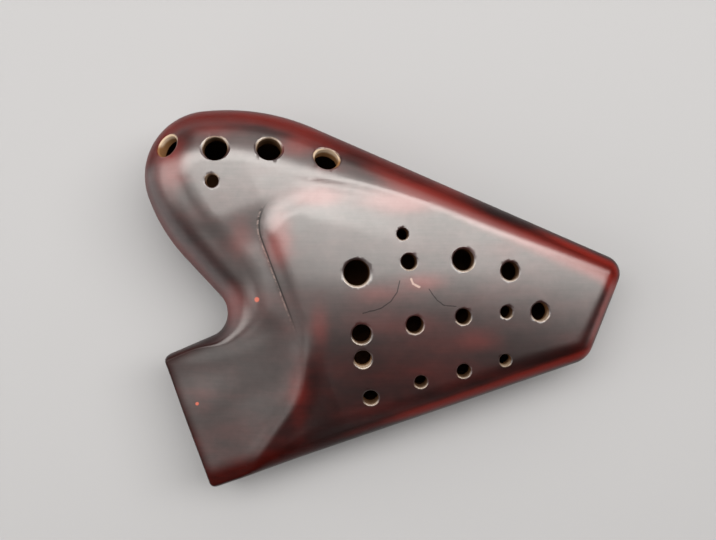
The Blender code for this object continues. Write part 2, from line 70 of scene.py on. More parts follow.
# Corners of the outline, and of the playing face's edge: x, y and the radius that rounds each
BODY_CORNERS = ((-END_TRIM, -31.3, 3.5), (176.2, -36.3, 12.0), (207.2, -2.2, 8.5),
                (79.5, 121.5, 96.0), (17.9, 136.9, 29.4), (17.9, 83.5, 77.0), (38.7, 33.2, 11.0),
                (-END_TRIM, 31.3, 3.5))
PLAYING_FACE = ((6.9, -35.4, 0.0), (60.6, -0.2, 34.0), (60.6, 79.5, 16.0), (96.0, 79.5, 55.0),
                (200.0, 2.0, 0.0))
OUTLINE_STEP = 1.3              # from point to point along both
BODY_LENGTH = 207.2
MOUTHPIECE_FRONT, MOUTHPIECE_BACK = 9.5, 10.5
FACE_HEIGHT, BELLY_DEPTH, TIP_FRONT, TIP_BACK = 26.5, 24.0, 11.0, 12.0
SWELL_SIDE, SWELL_LEAN, SWELL_BLEND = 23.5, 0.45, 40.0
FRONT_SWELL, BACK_SWELL = (0.0, 66.0), (50.0, 95.0)
FACE_HIGHEST, TIP_FALL, BACK_THINS_FROM = 65.9, 1.25, 150.0
FACE_CROWN_RADIUS, FACE_CROWN_FROM = 190.0, 45.0
FACE_STEP, FACE_TOP_STEP, FACE_FLANK, FACE_TOP_FLANK, FLANK_BLEND = 1.9, 0.9, 8.5, 20.0, 0.002
TOP_FROM_X, TOP_FROM_Y = (70.0, 95.0), (62.0, 80.0)         # where the edge turns along the top
STEP_STARTS_Y, STEP_FADES_X = (0.0, 26.0), (92.0, 132.0)
FACE_RIDGE, RIDGE_WIDTHS = 1.7, (5.5, 4.5)
RIDGE_STARTS_X, RIDGE_FADES_Y, RIDGE_END_X = (8.0, 30.0), (8.0, 30.0), FACE_HIGHEST + 20
VALLEY = np.array([[78.0, 84.5], [103.7, 70.4], [132.0, 52.5]])     # along the top of the face
VALLEY_DEPTH, VALLEY_WIDTH = 0.35, 2.2
VALLEY_STARTS_X, VALLEY_FADES_X = (80.0, 92.0), (108.0, 130.0)
LOBE_CENTRE, LOBE_FADES = (47.3, 99.3), (25.0, 110.0)
LOBE_EDGE, BODY_EDGE, TIP_EDGE, MOUTHPIECE_EDGE = 25.0, 13.0, 8.0, 2.5
TIP_EDGE_FROM, NECK_SIDE, NECK = 140.0, 30.0, (12.0, 57.0)
WALL, WINDWAY_ROOF, PLAY = 5.5, 3.6, 0.3
ROOF_THICKENS_X = (45.0, 70.0)  # from the windways' roof to the full wall


def rounded_corner(before, corner, after, radius, step):
    """Points of the arc that rounds a corner between two straight stretches."""
    back = (before - corner).normalized()
    ahead = (after - corner).normalized()
    half_angle = back.angle(ahead) / 2
    centre = corner + (back + ahead).normalized() * radius / math.sin(half_angle)
    start = corner + back * radius / math.tan(half_angle) - centre
    end = corner + ahead * radius / math.tan(half_angle) - centre
    first = math.atan2(start.y, start.x)
    sweep = (math.atan2(end.y, end.x) - first + math.pi) % (2 * math.pi) - math.pi
    count = max(3, math.ceil(abs(sweep) * radius / step), math.ceil(abs(sweep) / 0.15))
    return [centre + Vector((math.cos(a), math.sin(a))) * radius
            for a in (first + sweep * k / count for k in range(count + 1))]


def filled_in(points, step, closed):
    """A chain with points about a step apart on its straight stretches too."""
    filled = []
    for k in range(len(points) if closed else len(points) - 1):
        start, end = points[k], points[(k + 1) % len(points)]
        parts = max(1, round((end - start).length / step))
        filled += [start.lerp(end, j / parts) for j in range(parts)]
    return np.array([p[:] for p in filled + ([] if closed else [points[-1]])])


def body_plan(inset, step):
    """The body's outline moved inwards, as a closed loop of points, anticlockwise."""
    points = [Vector(c[:2]) for c in BODY_CORNERS]
    moved, radii = [], []
    for k, corner in enumerate(points):
        back = (points[k - 1] - corner).normalized()
        ahead = (points[(k + 1) % len(points)] - corner).normalized()
        hollow = -1 if back.x * ahead.y - back.y * ahead.x > 0 else 1
        reach = inset / math.sin(back.angle(ahead) / 2)
        moved.append(corner + (back + ahead).normalized() * reach * hollow)
        radii.append(max(BODY_CORNERS[k][2] - inset * hollow, 1.0))
    loop = []
    for k, corner in enumerate(moved):
        loop += rounded_corner(moved[k - 1], corner, moved[(k + 1) % len(moved)], radii[k], step)
    return filled_in(loop, step, True)


def edge_of_face(step):
    """The line along which the playing face rises, as an open chain of points."""
    points = [Vector(c[:2]) for c in PLAYING_FACE]
    chain = [points[0]]
    for k in range(1, len(points) - 1):
        chain += rounded_corner(points[k - 1], points[k], points[k + 1], PLAYING_FACE[k][2], step)
    return filled_in(chain + [points[-1]], step, False)


def beside_chain(points, chain, closed):
    """Distance from each point to a chain, positive on the chain's left."""
    ends = np.roll(chain, -1, axis=0) if closed else chain[1:]
    starts = chain if closed else chain[:-1]
    run = ends - starts
    length = (run * run).sum(1)
    distances = np.empty(len(points))
    for first in range(0, len(points), 4000):
        to_point = points[first:first + 4000, None, :] - starts[None, :, :]
        along = np.clip((to_point * run).sum(2) / length, 0, 1)
        gap = to_point - along[:, :, None] * run
        away = np.sqrt((gap * gap).sum(2))
        nearest = away.argmin(1)
        rows = np.arange(len(nearest))
        side, offset = run[nearest], to_point[rows, nearest]
        turn = np.sign(side[:, 0] * offset[:, 1] - side[:, 1] * offset[:, 0])
        distances[first:first + 4000] = away[rows, nearest] * turn
    return distances


BODY_OUTLINE = body_plan(0.0, OUTLINE_STEP)
FACE_LINE = edge_of_face(OUTLINE_STEP)


def ease(value, start, end):
    """A smooth ramp from 0 at start to 1 at end."""
    t = np.clip((value - start) / (end - start), 0, 1)
    return t * t * (3 - 2 * t)


def band(distance, middle, width):
    """1 along the middle of a band, fading on both sides of it."""
    return np.exp(-((distance - middle) / width) ** 2)


def along_swell(points):
    """How far along its swelling a point is: by x in the mouthpiece, and sooner in the lobe."""
    beside = points[:, 1] - SWELL_SIDE
    return points[:, 0] + SWELL_LEAN * (beside + np.sqrt(beside ** 2 + SWELL_BLEND))


def face_relief(points):
    """The step down from the playing face, the valley along its top and the ridge below it."""
    x, y = points.T
    into_face = -beside_chain(points, FACE_LINE, False)
    along_top = np.maximum(ease(y, *TOP_FROM_Y), ease(x, *TOP_FROM_X))
    flank = FACE_FLANK + (FACE_TOP_FLANK - FACE_FLANK) * along_top
    inside = into_face / flank
    inside = np.clip((inside + np.sqrt(inside ** 2 + FLANK_BLEND)) / 2, 0, 1)
    sharp, soft = (1 - inside) ** 2, 1 - ease(inside, 0, 1)
    step = FACE_STEP + (FACE_TOP_STEP - FACE_STEP) * along_top
    step = step * ease(y, *STEP_STARTS_Y) * (1 - ease(x, *STEP_FADES_X))
    foot = step * (sharp + (soft - sharp) * along_top)
    width = np.where(into_face < 0, *RIDGE_WIDTHS)
    ridge = FACE_RIDGE * ease(x, *RIDGE_STARTS_X) * (1 - ease(y, *RIDGE_FADES_Y))
    ridge = ridge * (x < RIDGE_END_X) * band(into_face, 0, width)
    valley = VALLEY_DEPTH * band(beside_chain(points, VALLEY, False), 0, VALLEY_WIDTH)
    valley = valley * ease(x, *VALLEY_STARTS_X) * (1 - ease(x, *VALLEY_FADES_X))
    return ridge - foot - valley


def front_height(points):
    """Height of the front skin over the parting plane, before its edge is rounded."""
    x, y = points.T
    to_tip = np.clip((x - FACE_HIGHEST) / (BODY_LENGTH - FACE_HIGHEST), 0, 1)
    top = FACE_HEIGHT - (FACE_HEIGHT - TIP_FRONT) * to_tip ** TIP_FALL
    below_crown = np.clip(FACE_CROWN_FROM * (1 - to_tip) - y, 0, None)
    top = top - below_crown ** 2 / (2 * FACE_CROWN_RADIUS) * (1 - to_tip)
    rise = ease(along_swell(points), *FRONT_SWELL)
    return MOUTHPIECE_FRONT + (top - MOUTHPIECE_FRONT) * rise + face_relief(points)


def back_depth(points):
    """Depth of the back skin under the parting plane, before its edge is rounded."""
    rise = ease(along_swell(points), *BACK_SWELL)
    taper = (BELLY_DEPTH - TIP_BACK) * ease(points[:, 0], BACK_THINS_FROM, BODY_LENGTH)
    return MOUTHPIECE_BACK + (BELLY_DEPTH - MOUTHPIECE_BACK) * rise - taper


def edge_reach(points):
    """How far in from the outline the rounded edge runs."""
    x, y = points.T
    from_lobe = np.hypot(x - LOBE_CENTRE[0], y - LOBE_CENTRE[1])
    reach = LOBE_EDGE - (LOBE_EDGE - BODY_EDGE) * ease(from_lobe, *LOBE_FADES)
    reach = reach - (BODY_EDGE - TIP_EDGE) * ease(x, TIP_EDGE_FROM, BODY_LENGTH)
    out_of_mouthpiece = ease(x + np.maximum(y - NECK_SIDE, 0), *NECK)
    return MOUTHPIECE_EDGE + (reach - MOUTHPIECE_EDGE) * out_of_mouthpiece


def skin_height(points, side, inset):
    """Height of a skin over the parting plane, below 0 on the back; WALL gives the hollow."""
    full = front_height(points) if side == FRONT else back_depth(points)
    reach = edge_reach(points)
    if inset > 0:
        past_windways = ease(points[:, 0], *ROOF_THICKENS_X)
        full = full - (WINDWAY_ROOF + (inset - WINDWAY_ROOF) * past_windways)
        reach = np.maximum(reach - inset, MOUTHPIECE_EDGE)
    share = np.clip((beside_chain(points, BODY_OUTLINE, True) - inset) / reach, 0, 1)
    return side * (full * np.sqrt(1 - (1 - share) ** 2) + PLAY / 2)


OUTER_SPACING, HOLLOW_SPACING = (1.3, 1.7), (3.0, 3.0)      # of the points, on front and back
EDGE_RINGS, HOLLOW_EDGE_RINGS = 12, 6
FACE_ROWS, FACE_ROWS_END = 8, 133


def stepped(points, gap):
    """The points of a row, without those that crowd the one before."""
    row = [points[0]]
    for point in points[1:]:
        if math.dist(point, row[-1]) > gap:
            row.append(point)
    return row


def clear_of(points, kept, gap):
    """The points that keep their distance from all of those kept before."""
    tree = KDTree(len(kept))
    for k, point in enumerate(kept):
        tree.insert((point[0], point[1], 0), k)
    tree.balance()
    return [p for p in points if tree.find((p[0], p[1], 0))[2] > gap]


def plan_of_skin(loop, inset, spacing, rings, face_rows):
    """Triangles over the plan: rings where the edge rounds, rows along the face's step."""
    tangent = np.roll(loop, -1, axis=0) - np.roll(loop, 1, axis=0)
    inward = np.stack([-tangent[:, 1], tangent[:, 0]], 1) / np.hypot(*tangent.T)[:, None]
    reach = edge_reach(loop)
    if inset > 0:
        reach = np.maximum(reach - inset, MOUTHPIECE_EDGE)
    rows = []
    if face_rows:
        chain = FACE_LINE[FACE_LINE[:, 0] < FACE_ROWS_END]
        run = np.gradient(chain, axis=0)
        across = np.stack([run[:, 1], -run[:, 0]], 1) / np.hypot(*run.T)[:, None]
        for part in np.linspace(-0.1, 1.0, face_rows):
            row = chain + across * FACE_FLANK * part
            rows.append(row[beside_chain(row, BODY_OUTLINE, True) > inset + 2])
    for ring in range(1, rings + 1):
        depth = reach * (1 - math.cos(math.pi / 2 * ring / rings))
        row = loop + inward * depth[:, None]
        rows.append(row[beside_chain(row, BODY_OUTLINE, True) - inset > 0.95 * depth])
    points = [tuple(p) for p in loop]
    edges = [(k, (k + 1) % len(loop)) for k in range(len(loop))]
    for number, row in enumerate(rows):
        row = stepped([tuple(p) for p in row], 0.45 * spacing)
        if face_rows and number >= face_rows:
            row = clear_of(row, on_step, 0.3 * spacing)
        first = len(points)
        edges += [(first + k, first + k + 1) for k in range(len(row) - 1)
                  if math.dist(row[k], row[k + 1]) < 1.7 * spacing]
        points += row
        if number == face_rows - 1:
            on_step = points[len(loop):]
    low, high = loop.min(0), loop.max(0)
    row_gap = spacing * 0.866       # of rows of even-sided triangles
    lattice = np.array([(x + spacing / 2 * (k % 2), y)
                        for k, y in enumerate(np.arange(low[1], high[1], row_gap))
                        for x in np.arange(low[0], high[0], spacing)])
    lattice = lattice[beside_chain(lattice, BODY_OUTLINE, True) > edge_reach(lattice)]
    points += clear_of([tuple(p) for p in lattice], points, 0.6 * spacing)
    found = delaunay_2d_cdt([Vector(p) for p in points], edges, [], 1, 1e-6)
    plan = np.array([v[:] for v in found[0]])
    place = {k: j for j, origin in enumerate(found[3]) for k in origin if k < len(loop)}
    return plan, found[2], [place[k] for k in range(len(loop))]


def add_skin(bm, inset, spacings, rings, face_rows):
    """One closed skin of the body: front and back meet on the parting plane without a seam."""
    loop = body_plan(inset, spacings[0])
    shared = [bm.verts.new((x, y, 0)) for x, y in loop]
    for side, spacing in zip((FRONT, BACK), spacings):
        plan, faces, on_loop = plan_of_skin(loop, inset, spacing, rings,
                                            face_rows if side == FRONT else 0)
        height = skin_height(plan, side, inset)
        corners = dict(zip(on_loop, shared))
        for k, (x, y) in enumerate(plan):
            if k not in corners:
                corners[k] = bm.verts.new((x, y, height[k]))
        outwards = (side == FRONT) == (inset == 0)
        for face in faces:
            turn = face if outwards else face[::-1]
            bm.faces.new([corners[k] for k in turn])


# Where the plan's origin lies in the row frame, in metres
PLAN_ORIGIN = Vector((cad_low.x, (cad_low.y + cad_high.y) / 2, 0))
PLAN_ORIGIN.y -= (BODY_OUTLINE[:, 1].min() + BODY_OUTLINE[:, 1].max()) / 2 * MM
PLAN_ORIGIN.z = (BELLY_DEPTH + PLAY / 2) * MM

body_clay = bmesh.new()
add_skin(body_clay, 0.0, OUTER_SPACING, EDGE_RINGS, FACE_ROWS)
for vertex in body_clay.verts:
    vertex.co.x = max(vertex.co.x, 0.0)
add_skin(body_clay, WALL, HOLLOW_SPACING, HOLLOW_EDGE_RINGS, 0)


# The finger and thumb holes
# They are pierced with a turned bit while the clay is leather hard, square to the skin, and each
# rim is broken with a damp finger. One bit is copied to every hole and cut out of the body.
# Each hole's x, y and width at the rim. The first five are the lobe's.
FRONT_HOLES = ((36.4, 115.6, 11.5), (55.9, 106.2, 11.9), (77.1, 98.3, 11.9), (98.5, 86.3, 11.9),
               (49.9, 93.8, 6.4), (93.4, 36.2, 12.8), (115.8, 32.8, 7.8), (138.0, 25.4, 10.9),
               (155.3, 13.7, 9.2), (117.4, 44.7, 5.8), (86.2, 11.1, 9.6), (108.7, 6.8, 8.7),
               (129.4, 2.7, 7.8), (147.6, -2.2, 6.2), (161.5, -7.3, 9.1), (82.9, 0.9, 8.7),
               (80.1, -16.2, 7.7), (102.7, -17.2, 6.4), (121.6, -19.4, 7.0), (140.0, -21.5, 6.0))
THUMB_HOLES = ((62.0, 86.0, 11.5), (98.0, 50.0, 11.0), (100.0, 4.0, 9.0), (96.0, -19.0, 8.0))
LOBE_HOLES = 5
BIT_SIDES = 40
BIT_BORE, BIT_SHOULDER = 0.86, 1.09     # of the rim's radius
BIT_ROUNDING, BIT_ARC_STEPS = 0.55, 8
BIT_TURN = math.radians(58)     # how far the rim's rounding turns before it meets the skin
BIT_BELOW_WALL, BIT_OVER_SKIN = 4.0, 4.0


def skin_place(x, y, side):
    """A point of the outer skin, in millimetres."""
    return Vector((x, y, skin_height(np.array([[x, y]]), side, 0.0)[0]))


def hole_seat(x, y, width, side):
    """Centre of a hole, level with its rim, and the direction square to the skin."""
    step = width / 2
    rim = [skin_place(x + step, y, side), skin_place(x - step, y, side),
           skin_place(x, y + step, side), skin_place(x, y - step, side)]
    outward = (rim[0] - rim[1]).cross(rim[2] - rim[3]).normalized() * side
    centre = skin_place(x, y, side)
    sunk = sum((p - centre).dot(outward) for p in rim) / len(rim)
    return centre + outward * sunk, outward


def turned_bit():
    """The piercing bit at a rim radius of 1: a straight bore and a flaring shoulder."""
    profile = [(BIT_BORE, -WALL - BIT_BELOW_WALL), (BIT_BORE, -3.0)]
    widest, deepest = 1 - math.cos(BIT_TURN), math.sin(BIT_TURN)
    for k in range(BIT_ARC_STEPS + 1):
        turn = BIT_TURN * k / BIT_ARC_STEPS
        profile.append((BIT_BORE + (1 - BIT_BORE) * (1 - math.cos(turn)) / widest,
                        -BIT_ROUNDING * (deepest - math.sin(turn)) / deepest))
    profile += [(BIT_SHOULDER, 0.35), (BIT_SHOULDER, BIT_OVER_SKIN)]
    bm = bmesh.new()
    rings = []
    for radius, height in profile:
        angles = [2 * math.pi * k / BIT_SIDES for k in range(BIT_SIDES)]
        rings.append([bm.verts.new((radius * math.cos(a), radius * math.sin(a), height))
                      for a in angles])
    bm.faces.new(rings[0][::-1])
    bm.faces.new(rings[-1])
    for lower, upper in zip(rings, rings[1:]):
        for k in range(BIT_SIDES):
            j = (k + 1) % BIT_SIDES
            bm.faces.new([lower[k], lower[j], upper[j], upper[k]])
    mesh = bpy.data.meshes.new("turned_bit")
    bm.to_mesh(mesh)
    bm.free()
    return bpy.data.objects.new("turned_bit", mesh)


def piercing_tree():
    """Copies the bit to every marked hole, stretched to its rim and turned square to the skin."""
    tree = bpy.data.node_groups.new("piercing", "GeometryNodeTree")
    sockets = tree.interface
    inputs = {}
    sockets.new_socket("Geometry", in_out="OUTPUT", socket_type="NodeSocketGeometry")
    for name, kind in (("Geometry", "NodeSocketGeometry"), ("Bit", "NodeSocketObject"),
                       ("Rim Allowance", "NodeSocketFloat"), ("Clay", "NodeSocketMaterial")):
        inputs[name] = sockets.new_socket(name, in_out="INPUT", socket_type=kind).identifier

    def add(kind, settings=(), **values):
        node = tree.nodes.new(kind)
        for setting, value in settings:
            setattr(node, setting, value)
        for socket, value in values.items():
            wanted = node.inputs[socket.replace("_", " ")]
            if isinstance(value, bpy.types.NodeSocket):
                tree.links.new(value, wanted)
            else:
                wanted.default_value = value
        return node

    given = add("NodeGroupInput").outputs
    width = add("GeometryNodeInputNamedAttribute", [("data_type", "FLOAT")], Name="rim_width")
    outward = add("GeometryNodeInputNamedAttribute", [("data_type", "FLOAT_VECTOR")],
                  Name="outward")
    bit = add("GeometryNodeObjectInfo", Object=given["Bit"])
    half = add("ShaderNodeMath", [("operation", "MULTIPLY")])
    tree.links.new(width.outputs["Attribute"], half.inputs[0])
    half.inputs[1].default_value = 0.5
    radius = add("ShaderNodeMath", [("operation", "ADD")])
    tree.links.new(half.outputs[0], radius.inputs[0])
    tree.links.new(given["Rim Allowance"], radius.inputs[1])
    stretch = add("ShaderNodeCombineXYZ", X=radius.outputs[0], Y=radius.outputs[0], Z=1.0)
    turn = add("FunctionNodeAlignRotationToVector", [("axis", "Z")],
               Vector=outward.outputs["Attribute"])
    points = add("GeometryNodeMeshToPoints", Mesh=given["Geometry"])
    copies = add("GeometryNodeInstanceOnPoints", Points=points.outputs["Points"],
                 Instance=bit.outputs["Geometry"], Rotation=turn.outputs["Rotation"],
                 Scale=stretch.outputs["Vector"])
    real = add("GeometryNodeRealizeInstances", Geometry=copies.outputs["Instances"])
    clad = add("GeometryNodeSetMaterial", Geometry=real.outputs["Geometry"],
               Material=given["Clay"])
    result = add("NodeGroupOutput")
    tree.links.new(clad.outputs["Geometry"], result.inputs["Geometry"])
    return tree, inputs


def plain_mesh(thing, name):
    """The evaluated shape of an object as a mesh of its own."""
    graph = bpy.context.evaluated_depsgraph_get()
    mesh = bpy.data.meshes.new_from_object(thing.evaluated_get(graph), depsgraph=graph)
    mesh.name = name
    return mesh


def in_scene(name, mesh):
    """A new object in the scene, at the origin."""
    thing = bpy.data.objects.new(name, mesh)
    bpy.context.scene.collection.objects.link(thing)
    return thing


stained_clay = bpy.data.materials.new("stained_clay_finish")
hole_seats = [(*hole_seat(*hole, side), hole[2]) for side, holes in
              ((FRONT, FRONT_HOLES), (BACK, THUMB_HOLES)) for hole in holes]
marks = bpy.data.meshes.new("hole_marks")
marks.from_pydata([seat[0] for seat in hole_seats], [], [])
marks.attributes.new("rim_width", "FLOAT", "POINT").data.foreach_set(
    "value", [seat[2] for seat in hole_seats])
marks.attributes.new("outward", "FLOAT_VECTOR", "POINT").data.foreach_set(
    "vector", [c for seat in hole_seats for c in seat[1]])
hole_marks = in_scene("hole_marks", marks)
bit = turned_bit()
tree, tree_inputs = piercing_tree()
piercing = hole_marks.modifiers.new("piercing", "NODES")
piercing.node_group = tree
piercing[tree_inputs["Bit"]] = bit
piercing[tree_inputs["Rim Allowance"]] = 0.0
piercing[tree_inputs["Clay"]] = stained_clay
hole_bits = in_scene("hole_bits", plain_mesh(hole_marks, "hole_bits"))
bpy.data.objects.remove(hole_marks)
bpy.data.objects.remove(bit)


# The windways, the windows and their sharp far edges
# Each chamber is blown through a tapered slot in the mouthpiece, cut with a flat tool. It leads
# to a window in the back, and the window's far side is pared down to the edge that splits the air.
WINDWAYS = ((17.2, 12.5, 7.0), (0.0, 11.0, 6.2), (-17.2, 9.5, 5.5))   # lane, width, window length
BLOCK_END = 36.0
WINDWAY_ENTRY, WINDWAY_EXIT = 2.8, 1.4
LABIUM_ANGLE, LABIUM_EDGE = math.radians(25), 0.4
MOUTH_END = WALL + 2            # the cut stops in the hollow, where the block's own slot goes on
OVERCUT = 5.0                   # how far a slot starts before the mouthpiece's end


def add_cut(bm, profile, lane, width):
    """A prism with a side profile of (x, depth) points, lying across the mouthpiece."""
    sides = []
    for y in (lane - width / 2, lane + width / 2):
        sides.append([bm.verts.new((x, y, -depth - PLAY / 2)) for x, depth in profile])
    bm.faces.new(sides[0][::-1])
    bm.faces.new(sides[1])
    for k in range(len(profile)):
        j = (k + 1) % len(profile)
        bm.faces.new([sides[0][k], sides[0][j], sides[1][j], sides[1][k]])


windway_roof = MOUTHPIECE_BACK - WINDWAY_ROOF
entry, leaving = windway_roof - WINDWAY_ENTRY, windway_roof - WINDWAY_EXIT
slope = (leaving - entry) / BLOCK_END
outside = MOUTHPIECE_BACK + 3.0
edge = windway_roof + LABIUM_EDGE
slots = bmesh.new()
for lane, width, window in WINDWAYS:
    mouth = [(-OVERCUT, entry - OVERCUT * slope), (MOUTH_END, entry + MOUTH_END * slope),
             (MOUTH_END, windway_roof), (-OVERCUT, windway_roof)]
    add_cut(slots, mouth, lane, width)
    far = BLOCK_END + window
    opening = [(BLOCK_END, windway_roof - 2), (far, windway_roof - 2), (far, edge),
               (far + (outside - edge) / math.tan(LABIUM_ANGLE), outside), (BLOCK_END, outside)]
    add_cut(slots, opening, lane, width)
bmesh.ops.recalc_face_normals(slots, faces=slots.faces)
slot_mesh = bpy.data.meshes.new("windway_cuts")
slots.to_mesh(slot_mesh)
slots.free()
slot_mesh.materials.append(stained_clay)
windway_cuts = in_scene("windway_cuts", slot_mesh)

raw_mesh = bpy.data.meshes.new("body_clay")
body_clay.to_mesh(raw_mesh)
body_clay.free()
raw_mesh.materials.append(stained_clay)
raw_body = in_scene("body_clay", raw_mesh)
for cutter in (hole_bits, windway_cuts):
    pierced = raw_body.modifiers.new(cutter.name, "BOOLEAN")
    pierced.object = cutter
    pierced.operation = "DIFFERENCE"
    pierced.solver = "EXACT"
body_mesh = plain_mesh(raw_body, "ocarina_body")
for used in (raw_body, hole_bits, windway_cuts):
    bpy.data.objects.remove(used)

co = np.empty(len(body_mesh.vertices) * 3)
body_mesh.vertices.foreach_get("co", co)
co = co.reshape(-1, 3)


def paint(name, values):
    """Store a number for every vertex of the body, which its finish reads."""
    body_mesh.attributes.new(name, "FLOAT", "POINT").data.foreach_set("value", values)


FLAT_END = 0.02                 # x up to which the clay is the mouthpiece's flat end
DEEPEST = 6                     # clay further under the skin all looks the same
on_front = co[:, 2] > 0
skin = np.where(on_front, skin_height(co[:, :2], FRONT, 0.0), skin_height(co[:, :2], BACK, 0.0))
under_skin = np.clip(np.abs(skin) - np.abs(co[:, 2]), 0, DEEPEST)
under_skin[(co[:, 0] < FLAT_END)] = 0
paint("under_skin", under_skin)

LIT_AND_RUBBED_SIDE = np.array((-0.351, -0.936))        # the side where most rims are rubbed bare and painted lighter as lit, on the plan
RIM_REACH, HOLE_REACH = 4.0, 8                  # how far beside and along a bore its marks go
LIT_BORES = {0: 0.9, 3: 1.0, 4: 0.55, 14: 0.5, 15: 0.75, 19: 0.4}      # bores painted pale as lit inside, by hole
SHADED_BORE = 0.06                # all the others, painted dark as shade
from_rim, rim_rubbed_and_lit = np.full(len(co), RIM_REACH), np.zeros(len(co))
bore_lit = np.zeros(len(co))
for number, (seat, outward, width) in enumerate(hole_seats):
    reach = co - np.array(seat)
    height = reach @ np.array(outward)
    radius = np.sqrt(np.clip((reach * reach).sum(1) - height ** 2, 0, None))
    gap = np.clip(radius - width / 2, 0, RIM_REACH)
    gap = np.where(np.abs(height) < HOLE_REACH, gap, RIM_REACH)
    # Each rim and bore is painted paler on one side, partly rubbed bare and partly painted light
    # where light falls on its wall; the lobe's holes on the other side
    towards = reach[:, :2] @ LIT_AND_RUBBED_SIDE / np.maximum(np.hypot(*reach[:, :2].T), 0.1)
    if number < LOBE_HOLES:
        towards = -towards
    rim_rubbed_and_lit = np.where(gap < from_rim, np.clip(0.5 + 0.6 * towards, 0, 1), rim_rubbed_and_lit)
    bore_lit = np.where(gap < from_rim, LIT_BORES.get(number, SHADED_BORE), bore_lit)
    from_rim = np.minimum(from_rim, gap)
paint("from_rim", from_rim)
paint("bore_lit", bore_lit)
paint("from_step", np.clip(-beside_chain(co[:, :2], FACE_LINE, False), -4, 4))
paint("rim_rubbed_and_lit", rim_rubbed_and_lit)

WIPING = (0.936, -0.351)        # the way the stain was wiped, on the plan
# Where the dark stain was wiped thin: middle, reach along and across the wiping, and strength
THIN_PATCHES = ((35, 107, 9, 17, 0.8), (58, 115, 17, 6, 0.6), (89, 96, 10, 7, 0.75),
                (98, 82, 11, 3, 0.45), (68, 62, 7, 14, 0.85), (89, 72, 15, 5, 0.75),
                (122, 58, 22, 7, 0.85), (71, 21, 6, 14, 0.55), (52, -4, 6, 19, 0.5),
                (38, 42, 9, 12, 0.6), (54, 69, 7, 12, 0.5), (118, 23, 12, 5, 0.65),
                (99, 25, 15, 5, 0.5), (156, 23, 11, 6, 0.45), (132, -9, 14, 7, 0.45),
                (12, 9, 9, 13, 0.35), (109, 8, 24, 7, 0.3))
THIN_ALL_OVER, THIN_ON_BACK = 0.20, 0.6
TOP_LOOKS_UP = 0.3              # how squarely the top edge looks up the picture, at least
TOP_FROM = (60, 90)             # x or y past which such an edge is the body's top
BOTTOM_Y, BOTTOM_FALL, BOTTOM_LENGTH = -31.3, 5.0, 176.2
x, y = co[:, 0], co[:, 1]
into_body = np.abs(beside_chain(co[:, :2], BODY_OUTLINE, True))
run = np.roll(BODY_OUTLINE, -1, axis=0) - BODY_OUTLINE
looks_up = (-run[:, 1] * WIPING[1] - run[:, 0] * WIPING[0]) / np.hypot(*run.T)
on_top = (BODY_OUTLINE[:, 0] > TOP_FROM[0]) | (BODY_OUTLINE[:, 1] > TOP_FROM[1])
top_edge = BODY_OUTLINE[(looks_up > TOP_LOOKS_UP) & on_top]
from_top = np.abs(beside_chain(co[:, :2], top_edge, False))
from_bottom = y - BOTTOM_Y + BOTTOM_FALL * x / BOTTOM_LENGTH
thin_spots = [np.full(len(co), THIN_ALL_OVER)]
for middle_x, middle_y, along, across, strength in THIN_PATCHES:
    u = ((x - middle_x) * WIPING[0] + (y - middle_y) * WIPING[1]) / along
    v = ((y - middle_y) * WIPING[0] - (x - middle_x) * WIPING[1]) / across
    thin_spots.append(strength * np.exp(-u * u - v * v) * np.where(on_front, 1, THIN_ON_BACK))
top_right = band(from_top, 9.5, 4.5) * ease(x, 100, 128) * on_front
top_left = ease(from_top, -0.5, 3.0) * (1 - ease(from_top, 6.0, 12.0))
top_left = top_left * ease(x, 20, 40) * (1 - ease(x, 95, 125))
lobe_edge = (1 - ease(into_body, 2.0, 9.0)) * (1 - ease(x, 150, 190)) * ease(y, 30, 60)
bottom = band(from_bottom, 4.0, 2.4) * ease(x, 45, 70)
tip_edge = band(into_body, 3.8, 2.2) * ease(x, 165, 185)
thin_spots += [0.9 * top_right, 0.62 * top_left, 0.5 * lobe_edge, 0.8 * tip_edge,
               bottom * (0.5 + 0.5 * ease(x, 75, 105))]
thin = (np.array(thin_spots) ** 4).sum(0) ** 0.25       # the largest, without creases
paint("stain_thin", np.clip(thin, 0, 1))
varnish = np.minimum(ease(from_top, 5.0, 12.0), ease(from_bottom, 5.5, 13.0))
paint("varnish", varnish * ease(into_body, 0.5, 6.5))

INSIDE_BOX = 2e-5               # how far the skin keeps inside the outermost sizes, in metres
place = co * MM + np.array(PLAN_ORIGIN)
place = np.clip(place, np.array(cad_low) + INSIDE_BOX, np.array(cad_high) - INSIDE_BOX)
body_mesh.vertices.foreach_set("co", place.ravel())
body_mesh.update()
body_mesh.shade_smooth()
SHARP_FROM = math.radians(32)
body_mesh.set_sharp_from_angle(angle=SHARP_FROM)
ocarina_body = in_scene("ocarina_body", body_mesh)


